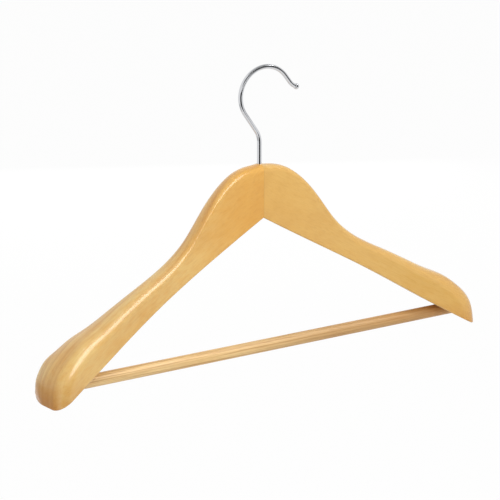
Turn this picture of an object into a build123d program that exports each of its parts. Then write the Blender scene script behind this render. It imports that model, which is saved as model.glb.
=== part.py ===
from build123d import *
import math
import os

# A wide-shouldered wooden hanger with a round trouser bar and a hook that swivels.
# Lengths are in millimetres and angles in degrees. X runs along the shoulders,
# Y from the front to the back, Z up. The pieces are drawn with the origin at the
# inner corner, where the undersides of the two arms meet, and moved at the end so
# that the origin is where a rail bears on the hook, on the hook's own axis.

# The arms
half_span = 232.5
arm_drop = 137.8
underside_arch = 0.8
underside_sway = 1.2
front_bow = 38.5
neck_height = 48.5
shoulder_height = 35.0
neck_depth = 17.5
shoulder_depth = 55.0
flare_power = 3.6
flare_inset = 11.5
foot_tilt_angle = 2.0
neck_ridge_reach = 4.5
shoulder_ridge_reach = 14.0
neck_rear_reach = 4.5
shoulder_rear_reach = 12.0
foot_edge_radius = 1.4

# The cross-sections stand upright from the glue joint to the shoulder, and then fan
# out about a line below the underside, so that the last ones lie below the foot.
fan_depth = 15.0
fan_gap = 3.0
fan_tilt_angle = 116.0
end_reach = 47.3

# One row for each upright cross-section. The columns are the place on the way to the
# fan, the parts of neck_height and of shoulder_height that make the height of the front
# ridge above the underside, and how much higher the crown and the rear are, as parts of
# shoulder_height.
arm_shares = [
    (0.000, 1.000, 0.000, 0.069, 0.000),
    (0.065, 1.115, 0.000, 0.062, -0.010),
    (0.135, 1.210, 0.000, 0.050, -0.030),
    (0.216, 1.080, 0.165, 0.036, -0.050),
    (0.324, 0.680, 0.425, 0.028, -0.050),
    (0.432, 0.230, 0.612, 0.032, -0.020),
    (0.568, 0.030, 0.695, 0.042, 0.025),
    (0.729, 0.000, 0.784, 0.045, 0.010),
    (0.864, 0.000, 0.843, 0.055, -0.005),
    (1.000, 0.000, 0.925, 0.065, -0.045),
]

# One row for each cross-section of the fan: the part of its tilt, and how far the front
# ridge, the crown and the rear lie from the fan's line, as parts of end_reach.
end_shares = [
    (0.16, 0.906, 0.955, 0.865),
    (0.32, 0.858, 0.912, 0.822),
    (0.48, 0.864, 0.932, 0.865),
    (0.64, 0.880, 0.978, 0.925),
    (0.80, 0.905, 1.020, 0.950),
    (1.00, 0.975, 1.120, 1.020),
]
crown_place_share = 0.5
end_crown_place_share = 0.66
crown_reach_share = 0.75
underside_shares = [0.0, 0.25, 0.5, 0.75, 1.0, 1.1]

# The glue joint
dowel_diameter = 6.0
dowel_length = 30.0
dowel_chamfer = 0.6
dowel_rise = 7.5
dowel_pitch = 9.5
dowel_pocket_spare = 0.5

# The hook
wire_diameter = 4.4
hook_rise = 64.8
bow_offset = 6.7
bow_radius = 26.7
lean_angle = 35.0
bend_radius = 20.0
nose_angle = 52.0
nose_length = 8.5
recurve_radius = 12.0
recurve_angle = 27.0
tail_length = 2.5
tip_ball_diameter = 5.8
shank_chamfer = 0.4
shank_clearance = 0.08
shank_floor_gap = 0.5
floor_web = 2.0

# The pin that holds the hook in and lets it turn
groove_depth = 0.6
groove_clearance = 0.1
groove_rise = 4.5
pin_diameter = 1.8
pin_length = 15.0
pin_edge_chamfer = 0.2

# The trouser bar and the brads that fix its ends
bar_diameter = 12.0
bar_setback = 14.0
bar_entry_inset = 26.5
bar_end_inset = 10.5
bar_edge_chamfer = 0.8
brad_diameter = 1.4
brad_length = 20.0
brad_head_diameter = 2.4
brad_head_thickness = 0.8
brad_point_length = 1.6
brad_inset = 11.0
brad_sink = 0.4

# One overrun serves all cuts.
cut_overrun = 5.0

wire_radius = wire_diameter / 2
bar_radius = bar_diameter / 2
half_neck = neck_depth / 2
fan_x = half_span - end_reach
bow_centre_z = neck_height + hook_rise
upper_dowel_z = dowel_rise + dowel_pitch
socket_floor_z = upper_dowel_z + dowel_diameter / 2 + floor_web
shank_foot_z = socket_floor_z + shank_floor_gap
groove_z = shank_foot_z + groove_rise
rail_seat_z = bow_centre_z + math.sqrt((bow_radius - wire_radius) ** 2 - bow_offset**2)


def underside_z(x):
    """Height of an arm's underside, which sways a little about a straight slope."""
    share = x / half_span
    arch = underside_arch * 4 * share * (1 - share)
    sway = underside_sway * math.sin(2 * math.pi * share**2)
    return -arm_drop * share + arch + sway


def front_y(x):
    """Place of the front face, which bows forward towards the shoulder."""
    return -half_neck - front_bow * (x / half_span) ** 2


def rear_y(x):
    """Place of the rear, as the arm flares from the neck's depth to the shoulder's."""
    share = min(1, x / (half_span - flare_inset))
    return front_y(x) + neck_depth + (shoulder_depth - neck_depth) * share**flare_power


bar_z = underside_z(half_span - bar_entry_inset)
bar_end_x = half_span - bar_end_inset
brad_x = bar_end_x - brad_inset
brad_head_z = bar_z - bar_radius + brad_sink
pin_x = wire_radius - groove_depth + pin_diameter / 2 + groove_clearance


def grow(small, large, x):
    """A size that grows from the neck to the shoulder, slowly at first."""
    return small + (large - small) * (x / half_span) ** 2


def corner_radius(before, corner, after, reach):
    """The radius that rounds a corner so that the rounding starts at a reach from it."""
    turn = (corner - before).get_angle(after - corner)
    return reach / math.tan(math.radians(turn / 2))


def arm_section(x, tilt_angle, crown_place, ridge, crown, rear):
    """One cross-section of an arm: a flat front, a rounded ridge and a crowned top."""
    turn = math.radians(tilt_angle)
    foot_x = x + fan_gap * math.sin(turn)
    ridge_x = x + ridge * math.sin(turn)
    crown_x = x + crown * math.sin(turn)
    rear_x = x + rear * math.sin(turn)
    crown_run = (rear_y(crown_x) - front_y(crown_x)) * crown_place
    front_foot = Vector(front_y(foot_x), fan_gap)
    front_ridge = Vector(front_y(ridge_x), ridge)
    crown_top = Vector(front_y(crown_x) + crown_run, crown)
    rear_top = Vector(rear_y(rear_x), rear)
    rear_foot = Vector(rear_y(foot_x), fan_gap)
    ridge_reach = grow(neck_ridge_reach, shoulder_ridge_reach, crown_x)
    rear_reach = grow(neck_rear_reach, shoulder_rear_reach, crown_x)
    front_room = (crown_top - front_ridge).length - ridge_reach
    rear_room = (rear_top - crown_top).length - rear_reach
    crown_reach = crown_reach_share * min(front_room, rear_room)
    radii = [
        0,
        corner_radius(front_foot, front_ridge, crown_top, ridge_reach),
        corner_radius(front_ridge, crown_top, rear_top, crown_reach),
        corner_radius(crown_top, rear_top, rear_foot, rear_reach),
        0,
    ]
    corners = [front_foot, front_ridge, crown_top, rear_top, rear_foot]
    outward = (math.cos(turn), 0, -math.sin(turn))
    plane = Plane(origin=(x, 0, underside_z(x) - fan_depth), x_dir=(0, 1, 0), z_dir=outward)
    return plane * make_face(FilletPolyline(*corners, radius=radii, close=True))


def upright_section(along, neck_up, shoulder_up, crown_up, rear_up):
    """A cross-section of the run from the glue joint to the shoulder."""
    ridge = fan_depth + neck_height * neck_up + shoulder_height * shoulder_up
    crown = ridge + shoulder_height * crown_up
    rear = ridge + shoulder_height * rear_up
    return arm_section(fan_x * along, 0, crown_place_share, ridge, crown, rear)


def end_section(tilt, ridge_out, crown_out, rear_out):
    """A cross-section of the rounded end, which leans outwards over the fan's line."""
    crown_place = crown_place_share + (end_crown_place_share - crown_place_share) * tilt
    reaches = [end_reach * share for share in (ridge_out, crown_out, rear_out)]
    return arm_section(fan_x, fan_tilt_angle * tilt, crown_place, *reaches)


def below_the_foot():
    """All that lies below the underside, which rises a little to the back."""
    rise = math.tan(math.radians(foot_tilt_angle))
    start_y = front_y(half_span) - cut_overrun
    points = []
    for share in underside_shares:
        x = half_span * share
        points.append((x, underside_z(x) - (front_y(x) - start_y) * rise))
    floor_z = -arm_drop - 2 * shoulder_height
    with BuildSketch(Plane.XZ) as outline:
        with BuildLine():
            top = Spline(*points)
            Polyline(top @ 1, (points[-1][0], floor_z), (points[0][0], floor_z), top @ 0)
        make_face()
    turn = math.radians(foot_tilt_angle)
    reach = Vector(0, math.cos(turn), math.sin(turn))
    side = Pos(0, start_y, 0) * outline.sketch
    return extrude(side, amount=2 * shoulder_depth, dir=reach)


def rod(start, direction, diameter, length):
    """A round rod from a point, along a direction."""
    plane = Plane(origin=start, z_dir=direction)
    return extrude(plane * Circle(diameter / 2), amount=length)


def chamfered_rod(start, direction, diameter, length, edge):
    """A round rod whose two ends are chamfered."""
    piece = rod(start, direction, diameter, length)
    return chamfer(piece.edges().filter_by(GeomType.CIRCLE), edge)


def hook_socket():
    """The hole down the neck in which the shank turns."""
    start = (0, 0, socket_floor_z)
    length = neck_height - socket_floor_z + cut_overrun
    return rod(start, (0, 0, 1), wire_diameter + 2 * shank_clearance, length)


def dowel_pocket(z):
    """A blind hole across the joint, a little longer than its dowel."""
    length = dowel_length + 2 * dowel_pocket_spare
    return rod((-length / 2, 0, z), (1, 0, 0), dowel_diameter, length)


def bar_rod():
    """The trouser bar before its ends are eased, which is also the bore that holds it."""
    return rod((-bar_end_x, -bar_setback, bar_z), (1, 0, 0), bar_diameter, 2 * bar_end_x)


def build_brad():
    """A brad on the bar's right end, driven up through the bar into the arm."""
    shank_length = brad_length - brad_point_length
    head = rod((0, 0, 0), (0, 0, 1), brad_head_diameter, brad_head_thickness)
    shank = rod((0, 0, 0), (0, 0, 1), brad_diameter, shank_length)
    point = Pos(0, 0, shank_length + brad_point_length / 2)
    point *= Cone(brad_diameter / 2, 0, brad_point_length)
    return Pos(brad_x, -bar_setback, brad_head_z) * (head + shank + point)


def brad_hole(brad):
    """The brad's own hole, open below its head."""
    mouth = (brad_x, -bar_setback, brad_head_z - cut_overrun)
    return brad + rod(mouth, (0, 0, 1), brad_head_diameter, cut_overrun)


def ease_the_foot(arm):
    """Rounds the edges of the underside, but not the one at the glue joint."""
    foot = arm.faces().sort_by(lambda face: face.normal_at().Z)[0]
    edges = foot.edges().filter_by(lambda edge: edge.center().X > foot_edge_radius)
    return fillet(edges, foot_edge_radius)


def build_right_arm(brad):
    """The arm before its pin hole, so that the left arm can be its mirror image."""
    sections = [upright_section(*row) for row in arm_shares]
    sections += [end_section(*row) for row in end_shares]
    arm = loft(sections) - below_the_foot()
    arm = ease_the_foot(arm)
    arm -= hook_socket()
    arm -= dowel_pocket(dowel_rise)
    arm -= dowel_pocket(upper_dowel_z)
    arm -= bar_rod()
    return arm - brad_hole(brad)


def build_hook():
    """The wire follows tangent lines and arcs, and carries a groove and a ball."""
    lean = math.radians(lean_angle)
    slant_reach = bow_radius * math.cos(lean) - bend_radius * (1 - math.cos(lean)) - bow_offset
    slant_length = slant_reach / math.sin(lean)
    bend_rise = bend_radius * math.sin(lean) + slant_length * math.cos(lean)
    shank_top_z = bow_centre_z - bow_radius * math.sin(lean) - bend_rise
    with BuildLine(Plane.XZ) as route:
        shank = Line((0, shank_foot_z), (0, shank_top_z))
        bend = JernArc(shank @ 1, shank % 1, bend_radius, lean_angle)
        slant = Line(bend @ 1, (bend @ 1) + (bend % 1) * slant_length)
        bow = JernArc(slant @ 1, slant % 1, bow_radius, -(90 + lean_angle + nose_angle))
        nose = Line(bow @ 1, (bow @ 1) + (bow % 1) * nose_length)
        recurve = JernArc(nose @ 1, nose % 1, recurve_radius, recurve_angle)
        tail = Line(recurve @ 1, (recurve @ 1) + (recurve % 1) * tail_length)
    start = Plane(origin=(0, 0, shank_foot_z), z_dir=(0, 0, 1))
    wire = sweep(start * Circle(wire_radius), path=route.line)
    foot = wire.edges().sort_by(Axis.Z)[0]
    wire = chamfer(foot, shank_chamfer)
    wire += Pos(*(route.line @ 1)) * Sphere(tip_ball_diameter / 2)
    ring_height = pin_diameter + 2 * groove_clearance
    ring = Cylinder(wire_radius + cut_overrun, ring_height)
    ring -= Cylinder(wire_radius - groove_depth, ring_height)
    return wire - Pos(0, 0, groove_z) * ring


def build_dowel(z):
    """A fluteless dowel across the glue joint."""
    start = (-dowel_length / 2, 0, z)
    return chamfered_rod(start, (1, 0, 0), dowel_diameter, dowel_length, dowel_chamfer)


def export(name, piece):
    """Moves a finished piece to the rail's frame and writes it under its name."""
    piece = Pos(0, 0, -rail_seat_z) * piece
    piece.label = name
    export_step(piece, "parts/" + name + ".step")


os.makedirs("parts", exist_ok=True)
right_brad = build_brad()
right_arm = build_right_arm(right_brad)
left_arm = mirror(right_arm, about=Plane.YZ)
pin_place = (pin_x, half_neck, groove_z)
right_arm -= rod(pin_place, (0, -1, 0), pin_diameter, pin_length)
hook = build_hook()
bar = chamfer(bar_rod().edges().filter_by(GeomType.CIRCLE), bar_edge_chamfer)
bar -= brad_hole(right_brad)
bar -= mirror(brad_hole(right_brad), about=Plane.YZ)

export("right_arm", right_arm)
export("left_arm", left_arm)
export("upper_neck_dowel", build_dowel(upper_dowel_z))
export("lower_neck_dowel", build_dowel(dowel_rise))
export("swivel_hook", hook)
export("hook_pin", chamfered_rod(pin_place, (0, -1, 0), pin_diameter, pin_length, pin_edge_chamfer))
export("trouser_bar", bar)
export("right_bar_brad", right_brad)
export("left_bar_brad", mirror(right_brad, about=Plane.YZ))
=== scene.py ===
# %% [markdown]
# A wooden hanger with wide shoulders, a round trouser bar and a wire hook that swivels.
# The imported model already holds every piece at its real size, so this lesson is about
# what the eye sees on them: clear lacquer over pale wood, chromed wire, and the soft
# white studio that both of them mirror. Lengths are in metres unless a name says mm, and
# turns and rises are in degrees.

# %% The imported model
import math

import bpy
import numpy as np
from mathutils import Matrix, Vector


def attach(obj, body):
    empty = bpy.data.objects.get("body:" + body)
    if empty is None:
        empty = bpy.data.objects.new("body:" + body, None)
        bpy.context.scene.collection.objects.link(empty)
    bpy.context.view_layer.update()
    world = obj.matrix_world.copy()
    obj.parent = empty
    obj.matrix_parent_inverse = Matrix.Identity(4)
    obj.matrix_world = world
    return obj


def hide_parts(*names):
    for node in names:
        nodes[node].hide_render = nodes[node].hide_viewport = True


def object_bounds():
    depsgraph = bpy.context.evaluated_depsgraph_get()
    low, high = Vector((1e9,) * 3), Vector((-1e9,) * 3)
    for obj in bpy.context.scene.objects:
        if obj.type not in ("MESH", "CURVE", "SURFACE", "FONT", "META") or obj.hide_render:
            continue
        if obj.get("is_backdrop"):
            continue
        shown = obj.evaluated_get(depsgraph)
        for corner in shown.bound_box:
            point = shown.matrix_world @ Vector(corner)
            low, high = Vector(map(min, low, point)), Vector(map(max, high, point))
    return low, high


MILLIMETRE = 0.001

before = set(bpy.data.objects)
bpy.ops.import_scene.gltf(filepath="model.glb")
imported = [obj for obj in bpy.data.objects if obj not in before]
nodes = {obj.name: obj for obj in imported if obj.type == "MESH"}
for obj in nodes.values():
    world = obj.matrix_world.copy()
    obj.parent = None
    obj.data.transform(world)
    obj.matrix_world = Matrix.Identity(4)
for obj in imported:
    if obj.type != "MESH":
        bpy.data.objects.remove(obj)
cad_low, cad_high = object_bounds()
print("nodes:", sorted(nodes))

# %% [markdown]
# The hanger floats in a white studio, turned so that its left shoulder comes towards us.
# A camera can be placed by three typed numbers, but those say nothing about why it stands
# there. Here it looks at one point from a turn, a rise and a distance, as it would be set
# up in a real studio. A long lens keeps the far shoulder nearly as large as the near one.
# The lamps and cards at the end of this lesson are placed in the same way.

# %% The camera
aim_point = Vector((-0.0120, -0.0033, -0.1672))
camera_turn = 31.0
camera_rise = 16.52
camera_distance = 1.5426
lens_mm = 119.3
sensor_mm = 36.0


def place_around(target, turn, rise, distance):
    """The place at a distance from a target, turned to the left of its front and raised."""
    turn = math.radians(turn)
    rise = math.radians(rise)
    level = math.cos(rise)
    away = Vector((-math.sin(turn) * level, -math.cos(turn) * level, math.sin(rise)))
    return target + away * distance


def facing(place, target):
    """The rotation that makes a camera, lamp or card at a place look at a target."""
    return (target - place).to_track_quat("-Z", "Y").to_euler()


camera_place = place_around(aim_point, camera_turn, camera_rise, camera_distance)
bpy.ops.object.camera_add(location=camera_place, rotation=facing(camera_place, aim_point))
camera = bpy.context.object
camera.data.lens = lens_mm
camera.data.sensor_width = sensor_mm
bpy.context.scene.camera = camera
print("camera at", [round(c, 4) for c in camera_place])

# %% [markdown]
# On the real hanger the shoulders are rounded on a copying lathe and then sanded by hand.
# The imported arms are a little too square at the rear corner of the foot, where the lathe's
# form ends in a toe with a shallow hollow above it. A CAD piece is never changed here, so
# each arm is copied, and its copy is sanded. Sanding that stops short leaves an edge, so it
# has to fade out on every side. Two curves do that: a step that rises from 0 to 1, and a
# hump that rises and falls again.

# %% Two smooth curves


def smooth_step(value, start, full):
    """0 at the start and beyond it, and smoothly up to 1 where it is full."""
    share = np.clip((value - start) / (full - start), 0.0, 1.0)
    return share * share * (3 - 2 * share)


def hump(value, centre, reach):
    """1 at the centre, and smoothly down to 0 at a reach to each side."""
    share = np.clip(abs(value - centre) / reach, 0.0, 1.0)
    return np.cos(share * math.pi / 2) ** 2


quarters = np.linspace(0.0, 1.0, 5)
print("a step from 0 to 1:", smooth_step(quarters, 0.0, 1.0).round(2))
print("half a hump:", hump(quarters, 0.0, 1.0).round(2))

# %% [markdown]
# Seen from above, the rear corner runs round a middle point, so each point of the mesh is
# moved straight towards that middle or away from it. Low down the toe is cut back, and
# above it the hollow is filled. Turns are counted in degrees from straight outwards, at 0,
# to straight back, at 90, so the front of the tip and the inner part of the arm stay as
# they are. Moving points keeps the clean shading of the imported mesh, which a remesh loses.

# %% Sanding one arm
corner_middle_mm = (195.0, -20.0)
turn_start = 0.0
turn_full = 45.0
turn_fading = 95.0
turn_end = 150.0
reach_start_mm = 12.0
reach_full_mm = 24.0
toe_height_mm = 2.5
toe_reach_mm = 5.0
toe_cut_mm = 1.4
hollow_height_mm = 14.5
hollow_reach_mm = 13.0
hollow_fill_mm = 1.9


def sand_the_toe(arm):
    """Cuts the toe back and fills the hollow, and returns the largest move in mm."""
    mesh = arm.data
    points = np.empty(3 * len(mesh.vertices))
    mesh.vertices.foreach_get("co", points)
    points = points.reshape(-1, 3) / MILLIMETRE
    side = np.sign(points[:, 0])
    out_x = abs(points[:, 0]) - corner_middle_mm[0]
    out_y = points[:, 1] - corner_middle_mm[1]
    height = points[:, 2] - points[:, 2].min()
    reach = np.hypot(out_x, out_y)
    turn = np.degrees(np.arctan2(out_y, out_x))
    where = smooth_step(turn, turn_start, turn_full) * smooth_step(turn, turn_end, turn_fading)
    where = where * smooth_step(reach, reach_start_mm, reach_full_mm)
    fill = hollow_fill_mm * hump(height, hollow_height_mm, hollow_reach_mm)
    cut = toe_cut_mm * hump(height, toe_height_mm, toe_reach_mm)
    move = where * (fill - cut) / np.maximum(reach, reach_start_mm)
    points[:, 0] += side * out_x * move
    points[:, 1] += out_y * move
    mesh.vertices.foreach_set("co", (points * MILLIMETRE).ravel())
    mesh.update()
    return float(abs(move * reach).max())


print("the toe is cut by up to", toe_cut_mm, "mm and the hollow filled by", hollow_fill_mm, "mm")

# %% [markdown]
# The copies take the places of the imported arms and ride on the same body, so they turn
# with the rest of the wood when the hook swivels.

# %% The sanded arms
arms = {}
for arm_name in ("left_arm", "right_arm"):
    bpy.ops.object.select_all(action="DESELECT")
    nodes[arm_name].select_set(True)
    bpy.context.view_layer.objects.active = nodes[arm_name]
    bpy.ops.object.duplicate()
    sanded = bpy.context.object
    sanded.name = arm_name + "_sanded"
    moved_mm = sand_the_toe(sanded)
    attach(sanded, "hanger")
    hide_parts(arm_name)
    arms[arm_name] = sanded
    print(sanded.name, "moved by up to", round(moved_mm, 2), "mm")

# %% [markdown]
# Every finish below is a network of shader nodes. Three helpers keep them short: one
# starts a material, one adds a node, sets it and links it, and one lays the material on a
# piece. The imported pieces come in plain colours, which the finishes replace.

# %% Materials and nodes


def new_material(name):
    """A material with an empty network and its output node."""
    material = bpy.data.materials.new(name)
    material.use_nodes = True
    tree = material.node_tree
    tree.nodes.clear()
    return material, tree, tree.nodes.new("ShaderNodeOutputMaterial")


def add_node(tree, kind, inputs=None, **settings):
    """Adds a node, sets its properties, and fills or links its inputs."""
    new = tree.nodes.new(kind)
    for name, value in settings.items():
        setattr(new, name, value)
    for name, value in (inputs or {}).items():
        if isinstance(value, bpy.types.NodeSocket):
            tree.links.new(value, new.inputs[name])
        else:
            new.inputs[name].default_value = value
    return new


def dress(piece, material):
    """Lays a finish on a piece."""
    piece.material_slots[0].material = material
    print(piece.name, "wears", material.name)


print("plain colours of the packed model:", len(bpy.data.materials))

# %% [markdown]
# The hex colours of a paint chart are stored for a screen, while the renderer adds up
# light, so one helper undoes the screen's curve. Another one lays marks over a colour as a
# stain does: each mark soaks in over what is already there, more or less strongly, in a
# shade of its own. The order matters, because a later mark lies over the earlier ones.

# %% Colours and stains


def linear(hex_colour):
    """An sRGB hex colour as linear red, green, blue and alpha, by the sRGB standard's curve."""
    parts = [int(hex_colour[i : i + 2], 16) / 255 for i in (1, 3, 5)]
    return [c / 12.92 if c <= 0.04045 else ((c + 0.055) / 1.055) ** 2.4 for c in parts] + [1.0]


def stain(tree, colour, marks):
    """Lays marks over a colour. Each one is a pattern, the levels between which it grows,
    its strength and its shade."""
    for pattern, low, high, strength, shade in marks:
        amount = add_node(
            tree,
            "ShaderNodeMapRange",
            {"Value": pattern, "From Min": low, "From Max": high, "To Min": 0.0, "To Max": strength},
        )
        # A Mix node has sockets for each kind of data. Its colours are inputs 6 and 7 and output 2.
        mixed = add_node(
            tree,
            "ShaderNodeMix",
            {0: amount.outputs["Result"], 6: colour, 7: linear(shade)},
            data_type="RGBA",
        )
        colour = mixed.outputs[2]
    return colour


print("#808080 is", round(linear("#808080")[0], 3), "of full light")

# %% [markdown]
# The arms are sawn from a pale, close-grained hardwood, much like beech, and sprayed with
# clear gloss lacquer that has warmed to honey. A photograph of wood could be wrapped round
# them, but a wrapped picture shows the same grain on the face and on the end. Wood is a
# solid, so its pattern is worked out in space instead, as noises that are drawn out along
# the grain. Uneven layers come from slow and quick years, a soft figure from the way light
# enters the wood, clouds from the changing tone of a board, and flecks half a millimetre
# wide are what this wood is known by. Its fibres are far finer and wouldn't show at arm's
# length, so they are drawn as coarse as they need to be to show. A noise texture repeats
# about once for each unit of its scale, which gives the scale for a mark of a real width.

# %% Marks along the grain
# Each mark has its width in mm, its scale along X, Y and Z of the board, and its detail.
grain_marks = {
    "layers": (4.2, (0.035, 1.0, 0.10), 3.0),
    "figure": (3.4, (0.35, 1.0, 1.0), 2.0),
    "fibres": (0.8, (0.03, 1.0, 1.0), 3.0),
    "flecks": (0.5, (0.16, 1.0, 1.0), 1.0),
    "clouds": (34.0, (0.4, 1.0, 1.0), 2.0),
}


def per_metre(size_mm):
    """The texture scale that makes one cell of a noise this many millimetres wide."""
    return 1 / (size_mm * MILLIMETRE)


def drawn_noise(tree, grain, size_mm, along, detail):
    """The socket of a noise with marks of this size, drawn out along the grain."""
    drawn = add_node(tree, "ShaderNodeVectorMath", {0: grain, 1: along}, operation="MULTIPLY")
    noise = add_node(
        tree,
        "ShaderNodeTexNoise",
        {"Vector": drawn.outputs["Vector"], "Scale": per_metre(size_mm), "Detail": detail},
    )
    return noise.outputs["Fac"]


for mark_name, (width_mm, along, detail) in grain_marks.items():
    print(f"{mark_name}: {width_mm} mm wide, {width_mm / along[0]:.0f} mm long, detail {detail}")

# %% [markdown]
# The boards were cut far from the heart of the tree, so their growth layers are nearly
# flat sheets that lie along the front face. There they hardly show. On the crown and round
# the end the saw cut across them, and they become long streaks that turn down with the
# form. So the surface's own direction, measured on the board, says how strongly the layers
# show, and where the end grain is.

# %% Wood as a solid pattern
layer_start = 0.42
layer_full = 0.68
front_facing = 1.0
turned_away = 0.4
share_on_front = 0.3


def wood_pattern(tree, rotation, board_place_mm):
    """The sockets of one board's pattern. rotation lays X along its grain, and board_place_mm
    says where in the tree it was cut, so that no two boards are alike."""
    place = add_node(tree, "ShaderNodeTexCoord")
    board = add_node(
        tree,
        "ShaderNodeMapping",
        {
            "Vector": place.outputs["Object"],
            "Rotation": rotation,
            "Location": [c * MILLIMETRE for c in board_place_mm],
        },
    )
    facing_out = add_node(
        tree,
        "ShaderNodeMapping",
        {"Vector": place.outputs["Normal"], "Rotation": rotation},
        vector_type="NORMAL",
    )
    pattern = {
        name: drawn_noise(tree, board.outputs["Vector"], width_mm, along, detail)
        for name, (width_mm, along, detail) in grain_marks.items()
    }
    normal = add_node(tree, "ShaderNodeSeparateXYZ", {"Vector": facing_out.outputs["Vector"]})
    front = add_node(tree, "ShaderNodeMath", {0: normal.outputs["Y"]}, operation="ABSOLUTE")
    cut = add_node(
        tree,
        "ShaderNodeMapRange",
        {
            "Value": front.outputs["Value"],
            "From Min": front_facing,
            "From Max": turned_away,
            "To Min": share_on_front,
        },
    )
    layers = add_node(
        tree,
        "ShaderNodeMapRange",
        {"Value": pattern["layers"], "From Min": layer_start, "From Max": layer_full},
    )
    shown = add_node(
        tree,
        "ShaderNodeMath",
        {0: layers.outputs["Result"], 1: cut.outputs["Result"]},
        operation="MULTIPLY",
    )
    end = add_node(tree, "ShaderNodeMath", {0: normal.outputs["X"]}, operation="ABSOLUTE")
    pattern["layers"] = shown.outputs["Value"]
    pattern["end"] = end.outputs["Value"]
    return pattern


print("the front faces show", share_on_front, "of the growth layers")

# %% [markdown]
# The lacquer is the clear coat of the shader: a smooth surface over the wood, which gives
# the thin bright line along every rounded edge and the pale rim where the form turns away.
# It has soaked into the wood, so the wood below it has next to no shine of its own. A
# sprayed coat is never quite flat, and a very shallow ripple in it keeps the highlights
# from looking machined.

# %% Clear lacquer
coat_ior = 1.5
ripple_width_mm = 9.0
ripple_height_mm = 0.006
wood_roughness = 0.6
wood_shine = 0.1


def lacquer(tree, output, colour, roughness, weight):
    """Puts a clear coat of this roughness and weight over a wood colour."""
    place = add_node(tree, "ShaderNodeTexCoord")
    ripple = add_node(
        tree,
        "ShaderNodeTexNoise",
        {"Vector": place.outputs["Object"], "Scale": per_metre(ripple_width_mm), "Detail": 0.0},
    )
    bump = add_node(
        tree,
        "ShaderNodeBump",
        {
            "Height": ripple.outputs["Fac"],
            "Strength": 1.0,
            "Distance": ripple_height_mm * MILLIMETRE,
        },
    )
    shader = add_node(
        tree,
        "ShaderNodeBsdfPrincipled",
        {
            "Base Color": colour,
            "Roughness": wood_roughness,
            "IOR": coat_ior,
            "Specular IOR Level": wood_shine,
            "Coat Weight": weight,
            "Coat Roughness": roughness,
            "Coat IOR": coat_ior,
            "Coat Normal": bump.outputs["Normal"],
        },
    )
    tree.links.new(shader.outputs["BSDF"], output.inputs["Surface"])


coat_mirrors = ((coat_ior - 1) / (coat_ior + 1)) ** 2
print("seen squarely, the coat mirrors", round(100 * coat_mirrors), "% of the light")

# %% [markdown]
# Each arm was cut from its own board, so each has its own slope of grain and a slightly
# different tone, and the seam between them shows as a change of both and as one thin line.
# Away from the seam the boards run into paler sapwood. Where an arm's end cuts the grain
# squarely the wood is darker and warmer, partly from lacquer soaked into the end grain and
# partly as painted shade on an end that turns away from the lamps. The foot is painted
# darker still, as shade where the form curves under, and is the warmest of all.

# %% The finish of the arms
arm_slope = math.radians(30.65)
arm_sweep = math.radians(9.4)
seam_width_mm = 0.35
sapwood_start = 0.02
sapwood_end = 0.11
foot_painted_shade_height = 0.030
# The end's colour is partly the darker end grain under the lacquer and partly painted shade.
end_stain_and_painted_shade = "#D48A28"
# The foot's colour is painted shade, darker towards the bottom of the arm.
foot_painted_shade = "#C2751C"
seam_line = "#A8712C"
arm_coat_roughness = 0.16
boards = {
    "left_arm": {
        "side": -1,
        "board_place_mm": (0.0, 0.0, 84.0),
        "pale": "#EDB555",
        "warm": "#DF9E3A",
        "dark": "#B87026",
        "sapwood": "#ECD18D",
        "sapwood_strength": 0.74,
    },
    "right_arm": {
        "side": 1,
        "board_place_mm": (0.0, 60.0, 121.0),
        "pale": "#E9B962",
        "warm": "#DFA84E",
        "dark": "#BC7A30",
        "sapwood": "#DFB66C",
        "sapwood_strength": 0.40,
    },
}


def arm_wood(name, side, board_place_mm, pale, warm, dark, sapwood, sapwood_strength):
    """Lacquered wood for the arm on one side: -1 is the left one and 1 the right one."""
    material, tree, output = new_material(name)
    pattern = wood_pattern(tree, (0.0, -side * arm_slope, side * arm_sweep), board_place_mm)
    place = add_node(tree, "ShaderNodeTexCoord")
    across = add_node(tree, "ShaderNodeSeparateXYZ", {"Vector": place.outputs["Object"]})
    seam = add_node(tree, "ShaderNodeMath", {0: across.outputs["X"]}, operation="ABSOLUTE")
    from_seam = seam.outputs["Value"]
    height = across.outputs["Z"]
    foot = cad_low[2]
    # For each mark: its pattern, its two levels, its strength and its shade.
    marks = [
        (from_seam, sapwood_start, sapwood_end, sapwood_strength, sapwood),
        (pattern["clouds"], 0.35, 0.70, 0.50, warm),
        (pattern["figure"], 0.40, 0.75, 0.40, warm),
        (pattern["layers"], 0.00, 1.00, 0.44, dark),
        (pattern["fibres"], 0.50, 0.75, 0.20, dark),
        (pattern["flecks"], 0.62, 0.78, 0.16, dark),
        # The end mark is partly darker end grain and partly painted shade on the end that turns away from
        # the lamps.
        (pattern["end"], 0.50, 0.90, 0.60, end_stain_and_painted_shade),
        # The foot mark is painted shade, darker towards the bottom of the arm.
        (height, foot + foot_painted_shade_height, foot, 0.50, foot_painted_shade),
        (from_seam, seam_width_mm * MILLIMETRE, 0.0, 0.30, seam_line),
    ]
    lacquer(tree, output, stain(tree, linear(pale), marks), arm_coat_roughness, weight=1.0)
    return material


for arm_name, board in boards.items():
    dress(arms[arm_name], arm_wood(arm_name + "_lacquered_beech", **board))

# %% [markdown]
# The bar is a turned dowel with a thin satin coat. It was made with the grain, so fine
# dark lines run along it, and it isn't one colour from end to end: it grows browner to the
# right, and its ends are darkened with painted shade where they go in under the arms.

# %% The bar
bar_line_mm = 1.3
bar_line_along = (0.012, 1.0, 1.0)
bar_line_detail = 2.0
bar_place_mm = (12.0, 150.0, 240.0)
level_grain = (0.0, 0.0, 0.0)

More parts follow.
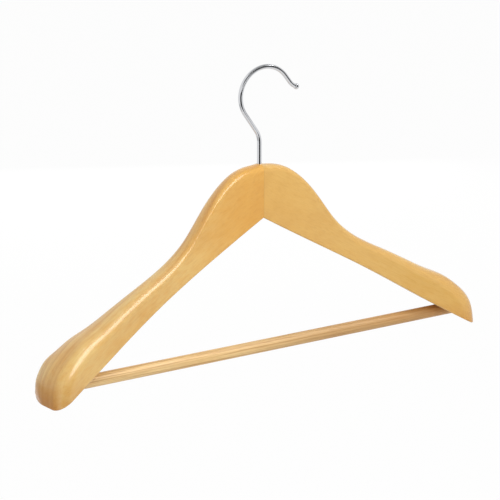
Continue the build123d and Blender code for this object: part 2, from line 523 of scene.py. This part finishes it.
bar_material, bar_tree, bar_output = new_material("bar_satin_beech")
bar_pattern = wood_pattern(bar_tree, level_grain, bar_place_mm)
bar_grain = add_node(bar_tree, "ShaderNodeTexCoord").outputs["Object"]
bar_lines = drawn_noise(bar_tree, bar_grain, bar_line_mm, bar_line_along, bar_line_detail)
bar_along = add_node(bar_tree, "ShaderNodeSeparateXYZ", {"Vector": bar_grain}).outputs["X"]
# The levels of the last three are places along the bar, in metres from its middle.
bar_marks = [
    (bar_pattern["clouds"], 0.35, 0.70, 0.45, "#DDAE68"),
    (bar_lines, 0.46, 0.64, 0.55, "#AD7538"),
    (bar_pattern["fibres"], 0.50, 0.75, 0.35, "#A9713A"),
    (bar_along, -0.04, 0.07, 0.60, "#AC7840"),
    # The last two marks are painted shade, where the bar's ends go in under the arms.
    (bar_along, 0.165, 0.20, 0.15, "#A2642F"),
    (bar_along, -0.175, -0.205, 0.45, "#96622F"),
]
bar_colour = stain(bar_tree, linear("#F4D398"), bar_marks)
lacquer(bar_tree, bar_output, bar_colour, roughness=0.42, weight=0.5)
dress(nodes["trouser_bar"], bar_material)

# %% [markdown]
# The two dowels inside the neck are bare wood, pale and dry, with nothing on them but the
# marks of their fibres.

# %% The neck dowels
dowel_place_mm = (0.0, 9.0, 130.0)

dowel_material, dowel_tree, dowel_output = new_material("bare_birch_dowel")
dowel_pattern = wood_pattern(dowel_tree, level_grain, dowel_place_mm)
dowel_marks = [(dowel_pattern["fibres"], 0.45, 0.70, 0.40, "#B8925C")]
dowel_shader = add_node(
    dowel_tree,
    "ShaderNodeBsdfPrincipled",
    {"Base Color": stain(dowel_tree, linear("#DCC096"), dowel_marks), "Roughness": 0.8},
)
dowel_tree.links.new(dowel_shader.outputs["BSDF"], dowel_output.inputs["Surface"])
dress(nodes["upper_neck_dowel"], dowel_material)
dress(nodes["lower_neck_dowel"], dowel_material)

# %% [markdown]
# The hook is steel wire, bent and then plated with bright chrome. Chrome has almost no
# colour of its own: it is a mirror, a little grey, and all of its lights and darks are the
# room. Only a faint waviness from drawing the wire breaks the mirror up. The pin and the
# brads are plain bright steel and hardly show.

# %% The metal pieces
polish_spread = 0.3


def bright_metal(name, shade, roughness, streak_mm):
    """A bright metal whose polish varies a little along its drawing marks."""
    material, tree, output = new_material(name)
    place = add_node(tree, "ShaderNodeTexCoord").outputs["Object"]
    streaks = add_node(
        tree,
        "ShaderNodeTexNoise",
        {"Vector": place, "Scale": per_metre(streak_mm), "Detail": 3.0},
    ).outputs["Fac"]
    polish = add_node(
        tree,
        "ShaderNodeMapRange",
        {
            "Value": streaks,
            "To Min": roughness * (1 - polish_spread),
            "To Max": roughness * (1 + polish_spread),
        },
    ).outputs["Result"]
    shader = add_node(
        tree,
        "ShaderNodeBsdfPrincipled",
        {"Base Color": linear(shade), "Metallic": 1.0, "Roughness": polish},
    )
    tree.links.new(shader.outputs["BSDF"], output.inputs["Surface"])
    return material


chrome = bright_metal("bright_chrome_plate", "#D2D3D6", roughness=0.09, streak_mm=2.5)
steel = bright_metal("bright_drawn_steel", "#B4B4B4", roughness=0.3, streak_mm=0.6)
dress(nodes["swivel_hook"], chrome)
dress(nodes["hook_pin"], steel)
dress(nodes["left_bar_brad"], steel)
dress(nodes["right_bar_brad"], steel)

# %% [markdown]
# The studio is white all round. White walls that really were as bright as they look would
# flood the object from every side and wash its form out. So what is seen and what lights
# are kept apart: a ray from the camera, or one that comes back from a mirror or through
# glass, finds plain white, and every other ray finds a dimmer room.

# %% The white world
world_light = 0.52


def seen_as_white(tree):
    """The socket that is 1 for rays that look at the room and 0 for those that light."""
    rays = add_node(tree, "ShaderNodeLightPath")
    looking = rays.outputs["Is Camera Ray"]
    for kind in ("Is Glossy Ray", "Is Transmission Ray"):
        either = add_node(
            tree,
            "ShaderNodeMath",
            {0: looking, 1: rays.outputs[kind]},
            operation="MAXIMUM",
        )
        looking = either.outputs["Value"]
    return looking


world = bpy.data.worlds.new("white_studio")
bpy.context.scene.world = world
world.use_nodes = True
world_tree = world.node_tree
world_tree.nodes.clear()
strength = add_node(
    world_tree,
    "ShaderNodeMapRange",
    {"Value": seen_as_white(world_tree), "To Min": world_light, "To Max": 1.0},
)
background = add_node(
    world_tree,
    "ShaderNodeBackground",
    {"Color": linear("#FFFFFF"), "Strength": strength.outputs["Result"]},
)
world_output = world_tree.nodes.new("ShaderNodeOutputWorld")
world_tree.links.new(background.outputs["Background"], world_output.inputs["Surface"])
bpy.context.scene.view_settings.view_transform = "Standard"
print("the room lights the hanger at", world_light, "of what it shows")

# %% [markdown]
# The floor lies a little below the hanger, as it would below something on a rail. It is
# nearly all glow to the eye and white paint to the light, so that it goes over into the
# white behind it without a horizon, and still holds a trace of the shadow.

# %% The floor
floor_gap = 0.35
floor_size = 12.0
floor_whiteness = 0.96

bpy.ops.object.select_all(action="DESELECT")
bpy.ops.mesh.primitive_plane_add(size=floor_size, location=(0.0, 0.0, cad_low[2] - floor_gap))
floor = bpy.context.object
floor.name = "studio_floor"
floor_paint, floor_tree, floor_output = new_material("white_floor_paint")
paint = add_node(floor_tree, "ShaderNodeBsdfDiffuse", {"Color": linear("#F4F3F1")})
glow = add_node(floor_tree, "ShaderNodeEmission", {"Color": linear("#FFFFFF"), "Strength": 1.0})
share = add_node(
    floor_tree,
    "ShaderNodeMath",
    {0: seen_as_white(floor_tree), 1: floor_whiteness},
    operation="MULTIPLY",
)
floor_mix = add_node(
    floor_tree,
    "ShaderNodeMixShader",
    {0: share.outputs["Value"], 1: paint.outputs["BSDF"], 2: glow.outputs["Emission"]},
)
floor_tree.links.new(floor_mix.outputs["Shader"], floor_output.inputs["Surface"])
floor.data.materials.append(floor_paint)
floor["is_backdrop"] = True
print("floor", round(floor_gap / MILLIMETRE), "mm below the hanger")

# %% [markdown]
# Three lamps shape the wood: a strip above and in front, a broad, soft one beside the
# camera that fills the front faces, and another like it behind, for whoever walks round
# the hanger. Lacquer and chrome would mirror each lamp as a hard white patch, so
# reflections don't see them, and the highlights are left to the cards that follow.

# %% The lamps


def add_lamp(name, turn, rise, distance, size, radiance):
    """A soft lamp of this width and height that faces the hanger."""
    width, height = size
    place = place_around(aim_point, turn, rise, distance)
    bpy.ops.object.light_add(type="AREA", location=place, rotation=facing(place, aim_point))
    lamp = bpy.context.object
    lamp.name = name
    lamp.data.shape = "RECTANGLE"
    lamp.data.size = width
    lamp.data.size_y = height
    lamp.data.energy = radiance * math.pi * width * height
    lamp.visible_glossy = False
    print(name, "gives", round(lamp.data.energy, 1), "W")


add_lamp("strip_above", turn=14.0, rise=70.0, distance=1.3, size=(1.2, 0.16), radiance=10.5)
add_lamp("soft_front", turn=-4.0, rise=26.0, distance=2.2, size=(1.4, 1.1), radiance=2.7)
add_lamp("soft_back", turn=205.0, rise=4.0, distance=2.2, size=(1.4, 1.1), radiance=2.4)

# %% [markdown]
# A highlight is a mirror image of something bright, and in an all-white room lacquer and
# chrome look dull. So cards stand round the hanger, where only reflections see them. The
# two above draw the line along the rounded front edges and light the crown, the one in
# front carries that line on down the left end, and the one beside the camera brightens
# that end. A nearly black one below the camera keeps the front faces rich in colour.

# %% The cards


def add_card(name, target, turn, rise, distance, size, glow):
    """A card of this width and height that faces its target. Only reflections see it."""
    width, height = size
    place = place_around(target, turn, rise, distance)
    bpy.ops.object.select_all(action="DESELECT")
    bpy.ops.mesh.primitive_plane_add(size=1.0, location=place, rotation=facing(place, target))
    card = bpy.context.object
    card.name = name
    card.scale = (width, height, 1.0)
    bpy.ops.object.transform_apply(location=False, rotation=False, scale=True)
    material, tree, output = new_material(name)
    shine = add_node(tree, "ShaderNodeEmission", {"Color": linear("#FFFFFF"), "Strength": glow})
    tree.links.new(shine.outputs["Emission"], output.inputs["Surface"])
    card.data.materials.append(material)
    card.visible_camera = False
    card.visible_diffuse = False
    card.visible_shadow = False
    card.visible_transmission = False
    card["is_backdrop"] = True
    print(name, "glows at", glow)


add_card("card_overhead", aim_point, turn=-30.0, rise=56.0, distance=1.3, size=(1.4, 0.44), glow=8.5)
add_card("card_top", aim_point, turn=-30.0, rise=76.0, distance=1.4, size=(1.6, 0.80), glow=1.7)
add_card("card_bridge", aim_point, turn=4.0, rise=34.0, distance=1.3, size=(0.8, 0.64), glow=6.5)
add_card("card_beside_camera", aim_point, turn=57.0, rise=-8.0, distance=1.05, size=(0.26, 0.8), glow=1.2)
add_card("card_below_camera", aim_point, turn=20.0, rise=-22.0, distance=1.1, size=(1.7, 1.3), glow=0.03)

# %% [markdown]
# Round wire mirrors the whole room, so it needs dark things to show its form. A large dark
# card far away would hide the bright ones from the arms. Small flags 8 to 10 cm from the
# bow give the wire its dark line and leave the arms alone. One more flag, half as bright
# as the room, takes the glare off the outer side of the left end.

# %% The flags
bow = Vector((0.0067, 0.0, -0.0100))
left_end = Vector((-0.22, -0.05, -0.25))

add_card("flag_before_bow", bow, turn=-8.0, rise=36.0, distance=0.08, size=(0.22, 0.065), glow=0.12)
add_card("flag_above_bow", bow, turn=-30.0, rise=80.0, distance=0.10, size=(0.15, 0.10), glow=0.5)
add_card("flag_beside_bow", bow, turn=-40.0, rise=4.0, distance=0.08, size=(0.08, 0.07), glow=0.15)
add_card("flag_beside_end", left_end, turn=115.0, rise=-22.0, distance=0.30, size=(0.50, 0.20), glow=0.5)

# %% [markdown]
# A finish may not make a piece outgrow its solid, so the box of what is seen is measured
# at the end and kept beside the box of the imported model.

# %% Sizes, and the end of the script
seen_low, seen_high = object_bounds()
below = [round((cad - seen) / MILLIMETRE, 2) for cad, seen in zip(cad_low, seen_low)]
above = [round((seen - cad) / MILLIMETRE, 2) for cad, seen in zip(cad_high, seen_high)]
print("past the packed model's box in mm:", below, above)
